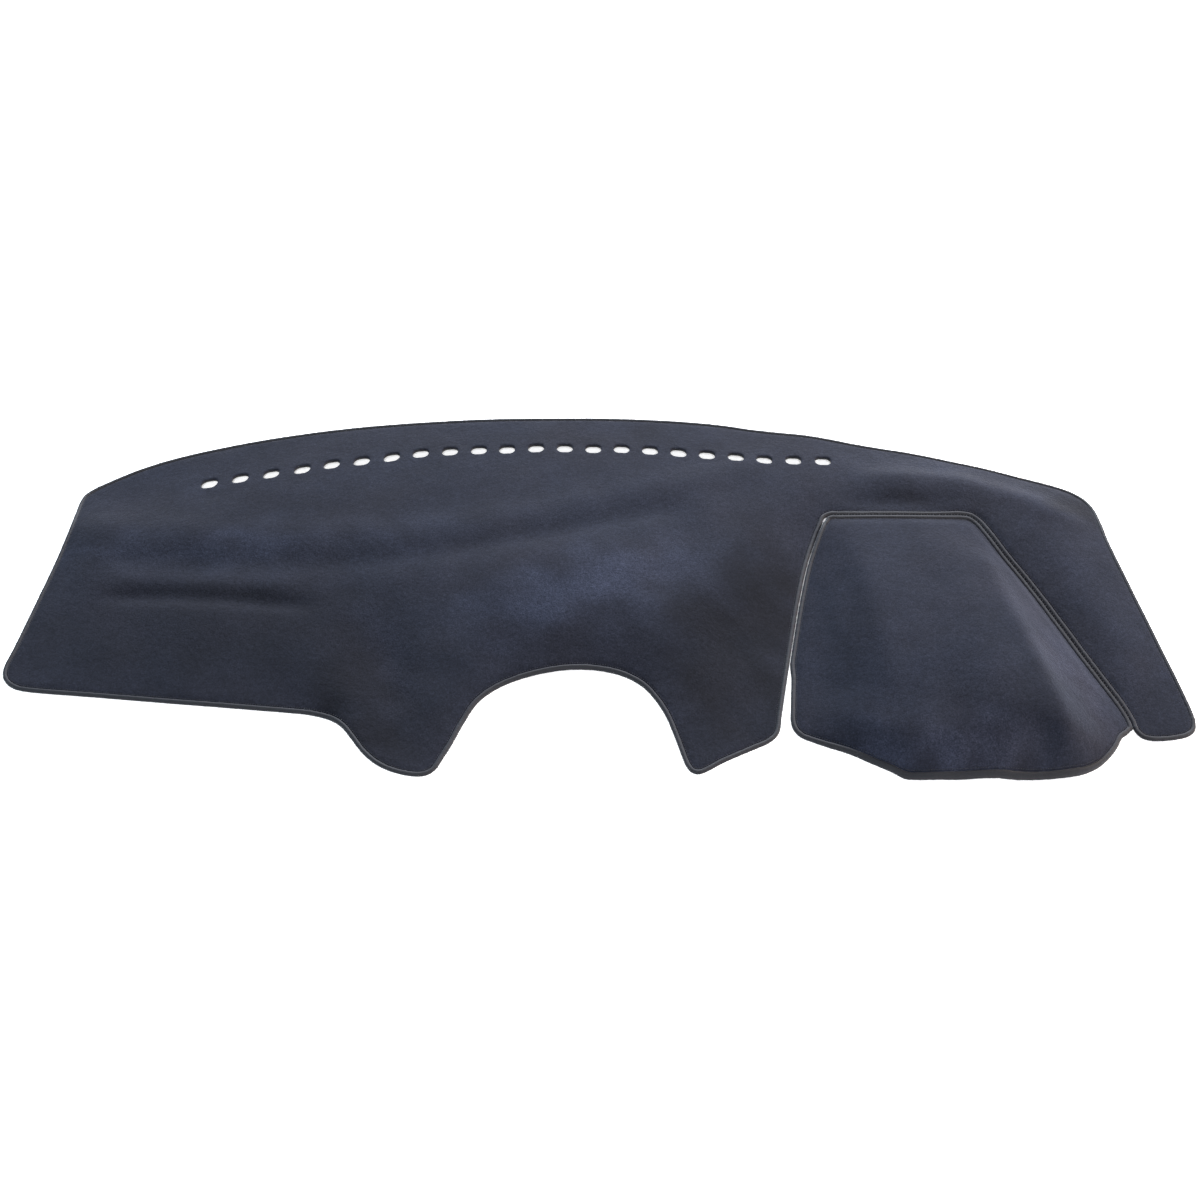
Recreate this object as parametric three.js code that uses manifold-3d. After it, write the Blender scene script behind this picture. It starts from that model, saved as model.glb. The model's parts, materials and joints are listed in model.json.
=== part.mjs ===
// Dashboard cover mat: a fitted felt mat that lies over the top of a car's dashboard.
// It is shown as it rests on a floor, right side up, with its formed relief.
// Millimetres, +X along the mat's length, +Y towards the windscreen side, +Z up.
// The origin is the centre of the bounding box in plan, on the floor.
import * as THREE from "three";
import { mergeVertices } from "three/addons/utils/BufferGeometryUtils.js";
import Module from "manifold-3d";

const wasm = await Module();
wasm.setup();

// ---- driving dimensions (mm) -------------------------------------------------
const FELT = 5.0; // felt face with its rubberised backing
const REST = 6.3; // height of the upper face where the felt lies flat on the floor
const REST_BLEND = 2.0; // softness of the change to the flat-lying felt
const BIND_WIDTH = 6.0; // overlocked edge, across
const BIND_OVER = 1.2; // how far the overlocked edge stands proud of the felt's face
const BIND_UNDER = -0.8; // its back stays this far inside the back of the felt
const BIND_SHOULDER = 1.5; // rounding of the overlocked edge
const GAP = 0.35; // clearance between touching pieces
const SEAT = [0, 0.013, -2.674]; // brings the origin to the centre of the base
const SEAM_GAP = 0.6; // between the two overlocked edges along the hood seam
const SEAM_BLEND = 20; // width over which the hood leaves the panel's level
const STEP = 24; // longest step along an outline
const SLOT_LENGTH = 22;
const SLOT_WIDTH = 18;
const SLOT_CORNER = 8.2;
const TAPE_WIDTH = 17; // sewn tape under the hood seam
const TAPE_THICK = 1.0;
const TAPE_END = 11.5; // the tape stops where the cloth comes this near the floor
const PAD_LENGTH = 60; // hook pads under the panel
const PAD_WIDTH = 25;
const PAD_THICK = 2.2;
const PAD_CORNER = 5;
const PAD_CLEAR = 2.2; // pad's upper face under the felt's lower face at its centre
const RELIEF_SCALE = 100; // the relief is solved in units of this
const RELIEF_EASE = 0.015; // smoothing of the main panel's relief
const HOOD_EASE = 0.0075; // smoothing of the hood's relief
const FOLD_TAPER = 60; // length over which a fold dies out at its ends
const THINNEST_SLOPE = 0.5; // limits the vertical measure of the felt on steep faces

// Main panel's free edge, from the tip of the right flap, along the back, round the
// left wing, the two console lobes with the arch between them, to the top of the slit.
const FREE_EDGE = [
  [652.8, -228.6], [659.3, -237.6], [668.8, -241.4], [681.8, -242.1], [699.8, -240.1], [715.8, -235.6],
  [725.3, -227.6], [728.8, -215.6], [728.3, -199.6], [723.8, -170.6], [710.6, -104.6], [695.6, -29.6],
  [680.3, 44.4], [676.3, 72.4], [674.3, 104.4], [671.3, 131.4], [663.8, 151.4], [647.8, 167.4],
  [620.8, 180.4], [582.3, 194.4], [531.8, 210.9], [465.8, 230.4], [430.8, 239.4], [396.4, 246.4],
  [360.8, 253.9], [327.8, 262.4], [291.8, 269.2], [257.8, 272.4], [220.8, 277.4], [186.8, 284.9],
  [149.4, 290.9], [96.5, 295.9], [25.2, 299.7], [-46.2, 300.4], [-154, 298.9], [-225.2, 294.9],
  [-272.2, 290.9], [-329.2, 284.9], [-399.7, 274.4], [-468.7, 260.4], [-525.2, 245.9], [-559.2, 235.4],
  [-592.2, 222.9], [-625.2, 206.9], [-656.2, 188.4], [-678.2, 172.4], [-687.7, 160.4], [-690.7, 145.4],
  [-690.2, 124.4], [-690.2, 96.4], [-696.7, 49.4], [-709.7, -25.6], [-723.7, -105.6], [-728.8, -131.6],
  [-726.7, -146.6], [-719.2, -157.6], [-707.2, -165.1], [-693.2, -168.6], [-598.2, -178.1], [-502.2, -187.6],
  [-408.7, -196.6], [-370.2, -200.1], [-340.2, -204.1], [-318.2, -211.6], [-302.2, -223.6], [-288.7, -240.6],
  [-273.2, -261.1], [-254.7, -277.6], [-232.8, -288.1], [-206.2, -293.1], [-193.2, -290.6], [-184.2, -283.1],
  [-177.2, -269.6], [-166.8, -248.2], [-153.2, -215.6], [-138.2, -188.6], [-116.2, -168.6], [-87.2, -154.6],
  [-55.2, -145.6], [-24.2, -141.4], [7.3, -142.4], [37.8, -150.6], [61.8, -165.6], [76.8, -184.6],
  [88.8, -207.1], [99.8, -239.6], [107.8, -267.6], [112.3, -280.1], [118.3, -287.6], [127.8, -289.6],
  [158.8, -272.6], [190.8, -256.1], [212.8, -244.6], [222.3, -235.6], [227.3, -223.6], [229.8, -207.6],
  [241.6, -144.6], [255.4, -73.6], [265.8, -23.6], [279.5, 31.1], [292.8, 69.4], [301.8, 91.4],
];
// Edge of the cut-out that the hood is sewn into, from the slit to the flap's tip.
const SEAM_EDGE = [
  [306.3, 101.9], [313.8, 105.9], [327.8, 106.2], [357.8, 106], [413.8, 106], [468.8, 105.7], [486.8, 105.4],
  [498.8, 102.6], [507.8, 93.9], [515.3, 80.4], [534.8, 41.4], [558.8, -3.9], [583.8, -57.1],
  [608.2, -112.6], [629.3, -159.6], [643.8, -193.6], [649.8, -212.6],
];
// Hood's free edge, from the end of the seam along the front and up the slit.
const HOOD_EDGE = [
  [650, -223.1], [644.8, -231], [635.1, -239.4], [626.2, -253.7], [614, -268.5], [599.8, -280.7],
  [580.9, -290.7], [556.4, -296.2], [499.2, -299.8], [438.1, -300.4], [384.5, -299.6], [367.6, -296.7],
  [352, -287.3], [333.2, -276.2], [306.4, -262], [282.6, -251.8], [263.7, -243.5], [250.3, -236.2],
  [242.6, -226], [239.9, -211.5], [241, -197.5], [244.2, -161.6], [250.5, -105.6], [261.1, -52.6],
  [273.6, 2.4], [284.7, 42.4], [290.3, 58.4], [298.6, 80.4], [306, 94.9],
];
// Demister slots' centres, left to right.
const SLOTS = [
  [-518, 172.5], [-476.8, 179.6], [-435.4, 186], [-394, 192.9], [-354.8, 201.7], [-314.5, 207.4],
  [-274.1, 214.3], [-235.1, 221.3], [-195.1, 224.3], [-155.9, 226.5], [-117.3, 227.2], [-77.7, 229.3],
  [-38.4, 228.9], [0.6, 227.5], [39.3, 228.1], [78.1, 225.2], [116.9, 220.8], [155.5, 215.7], [194.6, 210.4],
  [232.8, 205.6], [272.7, 207.3], [313.1, 207.4],
];
// Heights of the main panel's upper face: x, y, z.
const RELIEF = [
  [-691.1, 146.4, 8], [-625.2, 206.5, 8], [-525.2, 245.1, 10], [-399.7, 275.5, 13], [-225.3, 296.4, 16],
  [-46.2, 299.5, 18], [149.4, 290.3, 18], [291.8, 269.7, 16], [395, 244, 13], [496, 221.8, 10],
  [582.4, 193.2, 8], [663.3, 152, 8], [-620.2, 140.8, 14], [-514, 157.2, 22], [-387.6, 186, 27],
  [-218.2, 204.8, 31], [-44.6, 212.4, 33], [145.6, 207.6, 32], [280.5, 194.4, 30], [-687.4, 100.7, 18],
  [-695.6, 53.8, 15], [-709.4, -19.8, 11], [-724.8, -113.3, 8], [-710.2, -162.4, 7], [-598.1, -177.7, 7],
  [-502.7, -186.7, 7], [-408.7, -197.3, 7], [-322.7, -207.8, 7], [-288.9, -240.1, 11], [-254.7, -279.1, 9],
  [-202, -291.9, 7], [-166.8, -248.2, 8], [-152.9, -215.2, 9], [-117.2, -168.4, 13], [-55.3, -146.1, 16],
  [7.3, -141.5, 16], [66, -168.4, 13], [99.5, -240.9, 8], [127.5, -290.5, 7], [190.8, -254.7, 7],
  [224.7, -230, 7], [241.6, -144.6, 8], [258.9, -59.5, 11], [279.5, 31.2, 17], [294.4, 75.6, 22],
  [-634, 85.3, 25], [-512.1, 70.1, 32], [-372.1, 59.4, 36], [-173.9, 75.1, 40], [25.7, 125.3, 40],
  [128.7, 157.6, 37], [224.9, 175.4, 34], [-503.6, 7.9, 26], [-374.1, 3.5, 31], [-257.5, -6.7, 37],
  [-618.5, -72.5, 17], [-489.8, -85.4, 23], [-376.7, -87.8, 26], [-608.2, -132.2, 12], [-482, -145.4, 15],
  [-382.5, -154.6, 15], [-329.9, -118.8, 25], [-301.9, -183.6, 19], [-286.4, -224.7, 14], [-262.8, -79, 25],
  [-256.1, -126.7, 15], [-243.3, -184.4, 10], [-231.7, -242.4, 8], [-199.8, -121.2, 28],
  [-188.5, -191.9, 20], [-181.3, -241.6, 11], [-169.6, -2.6, 42], [-103.2, -45.1, 43], [-41.2, 10.8, 46],
  [35.3, 10.8, 46], [102.4, -11.9, 43], [139.7, 66.2, 42], [-39.9, -82.4, 39], [47.1, -84.8, 38],
  [-113.6, -120.4, 27], [227.5, 114.5, 38], [183.9, 46, 45], [142.1, -30.3, 45], [109, -89.6, 38],
  [228.7, 24, 31], [198.8, -54.6, 25], [170.5, -122.7, 20], [224, -108.5, 12], [132.1, -150, 25],
  [145.3, -195.7, 15], [191.6, -198.8, 9], [308.2, 105.8, 28], [358.2, 104.9, 29], [413.7, 105.6, 29],
  [468.9, 102.7, 28], [504, 97.8, 27], [534.2, 40.6, 22], [558.8, -3.8, 18], [583.7, -57, 14],
  [608.2, -112.5, 11], [629.4, -159.3, 9], [650.6, -219.6, 7], [344.7, 161.4, 33], [418.1, 161.4, 35],
  [490.1, 151.1, 36], [553.4, 128.2, 35], [609.8, 98.5, 32], [364.2, 211.8, 24], [456.7, 190.8, 26],
  [560.6, 160.8, 24], [533.2, 77.2, 30], [578.5, 34.4, 29], [613.3, -25.8, 26], [640.7, -87, 21],
  [660.5, -150, 15], [670.7, 78.3, 19], [695.7, -29, 14], [710.7, -104.6, 11], [724, -170.8, 8],
  [720.5, -230, 7], [680.2, -238.7, 7],
];
const FOLDS = [
  // long soft ridge from the left edge to the hood
  { line: [[-704, 94.3], [-512.2, 70.2], [-372.3, 61.1], [-250, 63.4], [-173.9, 75.1], [-74, 94.2], [25.7, 127.2], [128.8, 159.6], [267.7, 202.7]], rise: 3.6, width: 28 },
  // shallow hollow in front of the ridge
  { line: [[-657.5, 33.1], [-505.5, 21.9], [-367.8, 17.4], [-272.2, 18], [-171.7, 36.9], [-73, 57.1], [25.5, 85], [141.9, 121.9]], rise: -4, width: 20 },
  // crease in the left wing
  { line: [[-647.8, -25.6], [-497.5, -33], [-330.1, -51.9]], rise: -4.6, width: 13 },
  // swelling behind that crease
  { line: [[-637, -6], [-501, -10.1], [-352.2, -21.4]], rise: 1.6, width: 14 },
  // ridge round the back right corner
  { line: [[332.2, 169.8], [419, 168], [491.8, 160.5], [555.4, 137.9], [611.6, 107.1], [665.3, 73.1]], rise: 5, width: 22 },
  // hollow behind the hood
  { line: [[309.7, 126.5], [415.6, 126.4], [492.9, 118.5]], rise: -4, width: 14 },
  // swelling over the centre console
  { line: [[-165.9, -50.2], [-66.7, 7.6], [35.4, 17.8], [111.4, -7.5]], rise: 3.5, width: 40 },
];
// Heights of the hood's upper face: x, y, z.
const HOOD_RELIEF = [
  [306.9, 105.8, 28], [358.2, 104.9, 29], [413.7, 105.6, 29], [468.9, 102.7, 28], [504, 97.8, 27],
  [534.2, 40.6, 22], [558.8, -3.8, 18], [583.7, -57, 14], [608.2, -112.5, 11], [629.4, -159.3, 9],
  [649.7, -212.2, 7], [626.6, -253.2, 9], [593.1, -284, 10], [556.5, -295.3, 12], [499.4, -298.7, 13],
  [431.3, -300.2, 13], [367.8, -294.6, 11], [333.8, -274.8, 9], [282.8, -251.8, 7], [246.3, -230.7, 6],
  [246.5, -161.6, 8], [259.1, -91, 10], [273.1, -20.6, 14], [289.2, 42.4, 20], [335.7, 45.4, 36],
  [345.2, -19.4, 42], [352.5, -88.1, 46], [358.3, -158.5, 46], [362.3, -214.8, 41], [311.1, -7.4, 28],
  [304.5, -106.2, 29], [303.3, -179, 23], [403.3, 41.9, 40], [419.3, -25.4, 49], [422, -95.5, 55],
  [424.2, -167.8, 58], [428.8, -225.1, 55], [466.7, 38.3, 44], [500.9, 10.8, 46], [509.1, -47.9, 56],
  [519.6, -111.6, 65], [533.3, -171, 68], [545.9, -225.2, 65], [555.3, -262, 56], [545.9, -68.7, 42],
  [564.3, -122.8, 40], [583.4, -179.7, 34], [600.5, -226, 26], [320.9, -243.5, 24], [373.4, -269.3, 34],
  [429.8, -280.6, 38], [487.6, -282, 40], [535.8, -274.9, 38], [303.3, -214.2, 26], [339.4, -235.4, 35],
  [385.5, -254.9, 44], [441.8, -265.6, 49], [493.4, -267.7, 52], [532.8, -262, 52],
];
const HOOD_FOLDS = [
  // left crease of the hood
  { line: [[345.4, 63.8], [351.9, -71.4], [360, -165.8], [361.8, -229.6]], rise: 2.5, width: 18 },
  // right fold of the hood
  { line: [[498.4, 44.6], [510, -43.4], [522.5, -110.4], [536.3, -169.6], [548.7, -224.4], [563.5, -266.7]], rise: 5, width: 16 },
];
// Hook pads: x, y, turn in degrees.
const PADS = [
  [-470, 72, 2], [-215, 130, 4], [60, 160, -6], [-70, 15, 0], [130, 20, -40],
];
// Grid lines the cloth is faceted on.
const MAIN_X = spread(-740, 740, 38, []);
const MAIN_Y = [
  -305, -278, -250, -222, -196, -172, -148, -124, -98, -72, -48, -32, -21, -12, -4, 6, 20, 36,
  54, 72, 88, 104, 122, 144, 168, 192, 216, 240, 264, 286, 305,
];
const HOOD_X = [
  232, 252, 270, 290, 310, 330, 350, 370, 390, 412, 434, 456, 478, 498, 514, 530, 546, 562, 578,
  596, 616, 638, 660,
];
const HOOD_Y = [
  -306, -296, -288, -280, -272, -263, -252, -240, -224, -204, -180, -154, -126, -98, -70, -42, -14,
  10, 34, 56, 76, 94, 112,
];

function spread(a, b, n) {
  return Array.from({ length: n + 1 }, (_, i) => a + ((b - a) * i) / n);
}

// ---- relief: a thin-plate surface through the heights, with the folds on top ----
function kernel(dx, dy) {
  const r2 = dx * dx + dy * dy;
  return r2 > 0 ? 0.5 * r2 * Math.log(r2) : 0;
}
function solve(A, b) {
  const n = b.length;
  for (let c = 0; c < n; c++) {
    let p = c;
    for (let r = c + 1; r < n; r++) if (Math.abs(A[r][c]) > Math.abs(A[p][c])) p = r;
    [A[c], A[p]] = [A[p], A[c]];
    [b[c], b[p]] = [b[p], b[c]];
    for (let r = c + 1; r < n; r++) {
      const f = A[r][c] / A[c][c];
      if (!f) continue;
      for (let k = c; k < n; k++) A[r][k] -= f * A[c][k];
      b[r] -= f * b[c];
    }
  }
  for (let c = n - 1; c >= 0; c--) {
    for (let k = c + 1; k < n; k++) b[c] -= A[c][k] * b[k];
    b[c] /= A[c][c];
  }
  return b;
}
function thinPlate(points, ease) {
  const n = points.length,
    S = RELIEF_SCALE,
    A = [],
    b = [];
  for (let i = 0; i < n; i++) {
    const [x, y, z] = points[i],
      row = [];
    for (let j = 0; j < n; j++)
      row.push(kernel((x - points[j][0]) / S, (y - points[j][1]) / S) + (i === j ? ease : 0));
    row.push(1, x / S, y / S);
    A.push(row);
    b.push(z);
  }
  A.push([...points.map(() => 1), 0, 0, 0]);
  A.push([...points.map((p) => p[0] / S), 0, 0, 0]);
  A.push([...points.map((p) => p[1] / S), 0, 0, 0]);
  b.push(0, 0, 0);
  const w = solve(A, b);
  return (x, y) => {
    let z = w[n] + (w[n + 1] * x) / S + (w[n + 2] * y) / S;
    for (let i = 0; i < n; i++) z += w[i] * kernel((x - points[i][0]) / S, (y - points[i][1]) / S);
    return z;
  };
}
// Distance to a polyline, with the position along it and its whole length.
function toLine(line, x, y) {
  let best = Infinity,
    at = 0,
    run = 0;
  for (let i = 0; i + 1 < line.length; i++) {
    const [ax, ay] = line[i],
      dx = line[i + 1][0] - ax,
      dy = line[i + 1][1] - ay,
      len = Math.hypot(dx, dy);
    const t = Math.min(1, Math.max(0, ((x - ax) * dx + (y - ay) * dy) / (len * len)));
    const d = Math.hypot(x - ax - t * dx, y - ay - t * dy);
    if (d < best) {
      best = d;
      at = run + t * len;
    }
    run += len;
  }
  return [best, at, run];
}
function smooth(t) {
  t = Math.min(1, Math.max(0, t));
  return t * t * (3 - 2 * t);
}
function foldRise(fold, x, y) {
  const [d, at, run] = toLine(fold.line, x, y);
  return (
    fold.rise * Math.exp(-((d / fold.width) ** 2)) * smooth(Math.min(at, run - at) / FOLD_TAPER)
  );
}
// The cloth can't sink into the floor: low values ease into the flat-lying height.
function rested(z) {
  const d = z - REST;
  return REST + 0.5 * (d + Math.sqrt(d * d + REST_BLEND * REST_BLEND));
}
const plateMain = thinPlate(RELIEF, RELIEF_EASE),
  plateHood = thinPlate(HOOD_RELIEF, HOOD_EASE);
function mainTop(x, y) {
  return rested(FOLDS.reduce((z, f) => z + foldRise(f, x, y), plateMain(x, y)));
}
function hoodTop(x, y) {
  const own = rested(HOOD_FOLDS.reduce((z, f) => z + foldRise(f, x, y), plateHood(x, y)));
  const w = smooth(toLine(SEAM_EDGE, x, y)[0] / SEAM_BLEND);
  return w >= 1 ? own : own * w + mainTop(x, y) * (1 - w);
}
function slope(top, x, y) {
  const e = 1.5;
  const gx = (top(x + e, y) - top(x - e, y)) / (2 * e),
    gy = (top(x, y + e) - top(x, y - e)) / (2 * e);
  return [gx, gy, 1 / Math.hypot(gx, gy, 1)];
}
// Vertical measure of a thickness taken square to the cloth.
function plumb(top, x, y, thick) {
  return thick / Math.max(THINNEST_SLOPE, slope(top, x, y)[2]);
}

// ---- solids --------------------------------------------------------------------
function solid(geometry) {
  const g = geometry.clone();
  g.deleteAttribute("normal");
  g.deleteAttribute("uv");
  const m = mergeVertices(g, 1e-4);
  return new wasm.Manifold(
    new wasm.Mesh({
      numProp: 3,
      vertProperties: new Float32Array(m.attributes.position.array),
      triVerts: new Uint32Array(m.index.array),
    }),
  );
}
function geometryOf(made) {
  const m = made.getMesh(),
    v = new Float32Array(m.numVert * 3);
  for (let i = 0; i < m.numVert; i++)
    v.set(m.vertProperties.subarray(i * m.numProp, i * m.numProp + 3), i * 3);
  const g = new THREE.BufferGeometry();
  g.setAttribute("position", new THREE.BufferAttribute(v, 3));
  g.setIndex(new THREE.BufferAttribute(m.triVerts, 1));
  g.computeVertexNormals();
  return g;
}
// Cloth on grid lines, between its upper face and its lower face.
function cloth(top, xs, ys, low, high) {
  const nx = xs.length - 1,
    ny = ys.length - 1,
    g = new THREE.BoxGeometry(nx, ny, 1, nx, ny, 1),
    p = g.attributes.position;
  for (let i = 0; i < p.count; i++) {
    const x = xs[Math.round(p.getX(i) + nx / 2)],
      y = ys[Math.round(p.getY(i) + ny / 2)],
      off = p.getZ(i) > 0 ? high : low;
    p.setXYZ(i, x, y, top(x, y) + (off ? Math.sign(off) * plumb(top, x, y, Math.abs(off)) : 0));
  }
  return solid(g);
}
function prism(outline, z0, z1) {
  const g = new THREE.ExtrudeGeometry(new THREE.Shape(outline.map((p) => new THREE.Vector2(...p))), {
    depth: z1 - z0,
    bevelEnabled: false,
  });
  g.translate(0, 0, z0);
  return solid(g);
}
// Points along a smooth closed curve, with the index of the sample at each control point.
function sampled(points) {
  const curve = new THREE.CatmullRomCurve3(
    points.map(([x, y]) => new THREE.Vector3(x, y, 0)),
    true,
    "centripetal",
  );
  const n = points.length,
    out = [],
    at = [];
  for (let i = 0; i < n; i++) {
    const a = points[i],
      b = points[(i + 1) % n],
      parts = Math.max(1, Math.ceil(Math.hypot(b[0] - a[0], b[1] - a[1]) / STEP));
    at.push(out.length);
    for (let k = 0; k < parts; k++) {
      const p = curve.getPoint((i + k / parts) / n);
      out.push([p.x, p.y]);
    }
  }
  return [out, at];
}
function area(loop) {
  return loop.reduce((s, [x, y], i) => {
    const [u, v] = loop[(i + 1) % loop.length];
    return s + (x * v - u * y) / 2;
  }, 0);
}
// Unit mitre towards the inside of a closed loop, scaled to keep a parallel offset.
function mitres(loop) {
  const side = Math.sign(area(loop)),
    n = loop.length;
  return loop.map(([x, y], i) => {
    const [px, py] = loop[(i + n - 1) % n],
      [qx, qy] = loop[(i + 1) % n];
    const la = Math.hypot(x - px, y - py),
      lb = Math.hypot(qx - x, qy - y);
    const ax = (-(y - py) / la) * side,
      ay = ((x - px) / la) * side,
      bx = (-(qy - y) / lb) * side,
      by = ((qx - x) / lb) * side;
    const mx = ax + bx,
      my = ay + by,
      k = 2 / (mx * mx + my * my);
    return [mx * Math.min(k, 1.3), my * Math.min(k, 1.3)];
  });
}
function inset(loop, distance) {
  const m = mitres(loop);
  return loop.map(([x, y], i) => [x + m[i][0] * distance, y + m[i][1] * distance]);
}
// Overlocked edge: a rounded section swept round a closed outline, on its inner side.
function binding(loop, top) {
  const up = FELT / 2 + BIND_OVER,
    down = FELT / 2 + BIND_UNDER,
    m = mitres(loop),
    n = loop.length;
  const section = [
    [0, 0],
    [BIND_SHOULDER, up],
    [BIND_WIDTH - BIND_SHOULDER, up],
    [BIND_WIDTH, 0],
    [BIND_WIDTH - BIND_SHOULDER, -down],
    [BIND_SHOULDER, -down],
  ];
  const g = new THREE.TorusGeometry(2, 1, section.length, n),
    p = g.attributes.position;
  for (let j = 0; j <= section.length; j++)
    for (let i = 0; i <= n; i++) {
      const [a, b] = section[j % section.length],
        k = i % n,
        x = loop[k][0] + m[k][0] * a,
        y = loop[k][1] + m[k][1] * a;
      const core = plumb(top, loop[k][0], loop[k][1], FELT) / 2;
      p.setXYZ(j * (n + 1) + i, x, y, top(x, y) - core + b + Math.sign(b) * (core - FELT / 2));
    }
  const s = solid(g);
  if (s.volume() > 0) return s;
  const index = g.index.array;
  for (let i = 0; i < index.length; i += 3) [index[i + 1], index[i + 2]] = [index[i + 2], index[i + 1]];
  return solid(g);
}

const [mainLoop, mainAt] = sampled([...SEAM_EDGE, ...FREE_EDGE]);
const seamEnd = mainAt[SEAM_EDGE.length - 1];
const outward = mitres(mainLoop);
const hoodSeam = [];
for (let i = mainAt[1]; i <= seamEnd; i++)
  hoodSeam.push([mainLoop[i][0] - outward[i][0] * SEAM_GAP, mainLoop[i][1] - outward[i][1] * SEAM_GAP]);
// The hood's seam side keeps the panel's samples, its free side is a smooth curve of its own.
const [hoodAll, hoodAt] = sampled([...hoodSeam, ...HOOD_EDGE]);
const hoodLoop = hoodAll;

const high = 200;
let mainPanel = cloth(mainTop, MAIN_X, MAIN_Y, -FELT, 0).intersect(
  prism(inset(mainLoop, BIND_WIDTH + GAP), -50, high),
);
let hoodPanel = cloth(hoodTop, HOOD_X, HOOD_Y, -FELT, 0).intersect(
  prism(inset(hoodLoop, BIND_WIDTH + GAP), -50, high),
);

// Demister slots follow the row's own line.
SLOTS.forEach(([x, y], i) => {
  const a = SLOTS[Math.max(0, i - 1)],
    b = SLOTS[Math.min(SLOTS.length - 1, i + 1)],
    lean = (b[1] - a[1]) / (b[0] - a[0]);
  const hole = [];
  const hl = SLOT_LENGTH / 2 - SLOT_CORNER,
    hw = SLOT_WIDTH / 2 - SLOT_CORNER;
  for (const [sx, sy, from] of [
    [1, 1, 0],
    [-1, 1, 90],
    [-1, -1, 180],
    [1, -1, 270],
  ])
    for (const t of [0, 45, 90]) {
      const r = THREE.MathUtils.degToRad(from + t);
      const u = sx * hl + SLOT_CORNER * Math.cos(r),
        v = sy * hw + SLOT_CORNER * Math.sin(r);
      hole.push([x + u, y + v + u * lean]);
    }
  mainPanel = mainPanel.subtract(prism(hole, -50, high));
});

// Tape sewn under the hood seam: a flat band swept along the seam.
const tapeLine = hoodSeam.filter(([x, y], i) => i > 0 && mainTop(x, y) > TAPE_END);
function band(line, top) {
  const n = line.length - 1,
    g = new THREE.BoxGeometry(n, 2, 1, n, 2, 1),
    p = g.attributes.position;
  for (let i = 0; i < p.count; i++) {
    const k = Math.round(p.getX(i) + n / 2),
      s = Math.round(p.getY(i)),
      a = line[Math.max(0, k - 1)],
      b = line[Math.min(n, k + 1)],
      len = Math.hypot(b[0] - a[0], b[1] - a[1]);
    const nx = -(b[1] - a[1]) / len,
      ny = (b[0] - a[0]) / len;
    const off = (s * TAPE_WIDTH) / 2 + SEAM_GAP / 2,
      x = line[k][0] + nx * off,
      y = line[k][1] + ny * off;
    const under = plumb(top, line[k][0], line[k][1], FELT) + GAP + 0.3;
    p.setXYZ(i, x, y, top(x, y) - under - (p.getZ(i) > 0 ? 0 : TAPE_THICK));
  }
  const made = solid(g);
  if (made.volume() > 0) return made;
  const index = g.index.array;
  for (let i = 0; i < index.length; i += 3) [index[i + 1], index[i + 2]] = [index[i + 2], index[i + 1]];
  return solid(g);
}

const felt = { color: 0x3c3f4c, roughness: 0.95, metalness: 0 };
const edge = { color: 0x2c3040, roughness: 0.85, metalness: 0 };
const group = new THREE.Group();
group.name = "dashboard_cover_mat";
group.position.set(...SEAT);
function add(name, geometry, look) {
  const mesh = new THREE.Mesh(geometry, new THREE.MeshStandardMaterial(look));
  mesh.name = name;
  group.add(mesh);
  return mesh;
}
add("main_panel", geometryOf(mainPanel), felt);
add("hood_panel", geometryOf(hoodPanel), felt);
add("main_edge_binding", geometryOf(binding(mainLoop, mainTop)), edge);
add("hood_edge_binding", geometryOf(binding(hoodLoop, hoodTop)), edge);
add("hood_seam_tape", geometryOf(band(tapeLine, mainTop)), { color: 0x1b1c20, roughness: 0.9, metalness: 0 });

// Hook pads, each flat and square to the felt above it.
const padShape = new THREE.Shape();
{
  const l = PAD_LENGTH / 2,
    w = PAD_WIDTH / 2,
    c = PAD_CORNER;
  padShape.moveTo(-l + c, -w);
  padShape.lineTo(l - c, -w);
  padShape.absarc(l - c, -w + c, c, -Math.PI / 2, 0, false);
  padShape.lineTo(l, w - c);
  padShape.absarc(l - c, w - c, c, 0, Math.PI / 2, false);
  padShape.lineTo(-l + c, w);
  padShape.absarc(-l + c, w - c, c, Math.PI / 2, Math.PI, false);
  padShape.lineTo(-l, -w + c);
  padShape.absarc(-l + c, -w + c, c, Math.PI, 1.5 * Math.PI, false);
}
PADS.forEach(([x, y, turn], i) => {
  const g = new THREE.ExtrudeGeometry(padShape, { depth: PAD_THICK, bevelEnabled: false, curveSegments: 3 });
  const [gx, gy, nz] = slope(mainTop, x, y);
  const normal = new THREE.Vector3(-gx * nz, -gy * nz, nz);
  const mesh = add("hook_pad_" + (i + 1), geometryOf(solid(g)), { color: 0x15161a, roughness: 1, metalness: 0 });
  const lean = new THREE.Quaternion().setFromUnitVectors(new THREE.Vector3(0, 0, 1), normal);
  mesh.quaternion.copy(lean).multiply(
    new THREE.Quaternion().setFromAxisAngle(new THREE.Vector3(0, 0, 1), THREE.MathUtils.degToRad(turn)),
  );
  mesh.position.set(x, y, mainTop(x, y)).addScaledVector(normal, -(FELT + PAD_CLEAR + PAD_THICK));
});

export default group;
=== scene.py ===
import json
import math
import bpy
import numpy as np
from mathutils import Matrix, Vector
from mathutils.geometry import delaunay_2d_cdt


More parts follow.
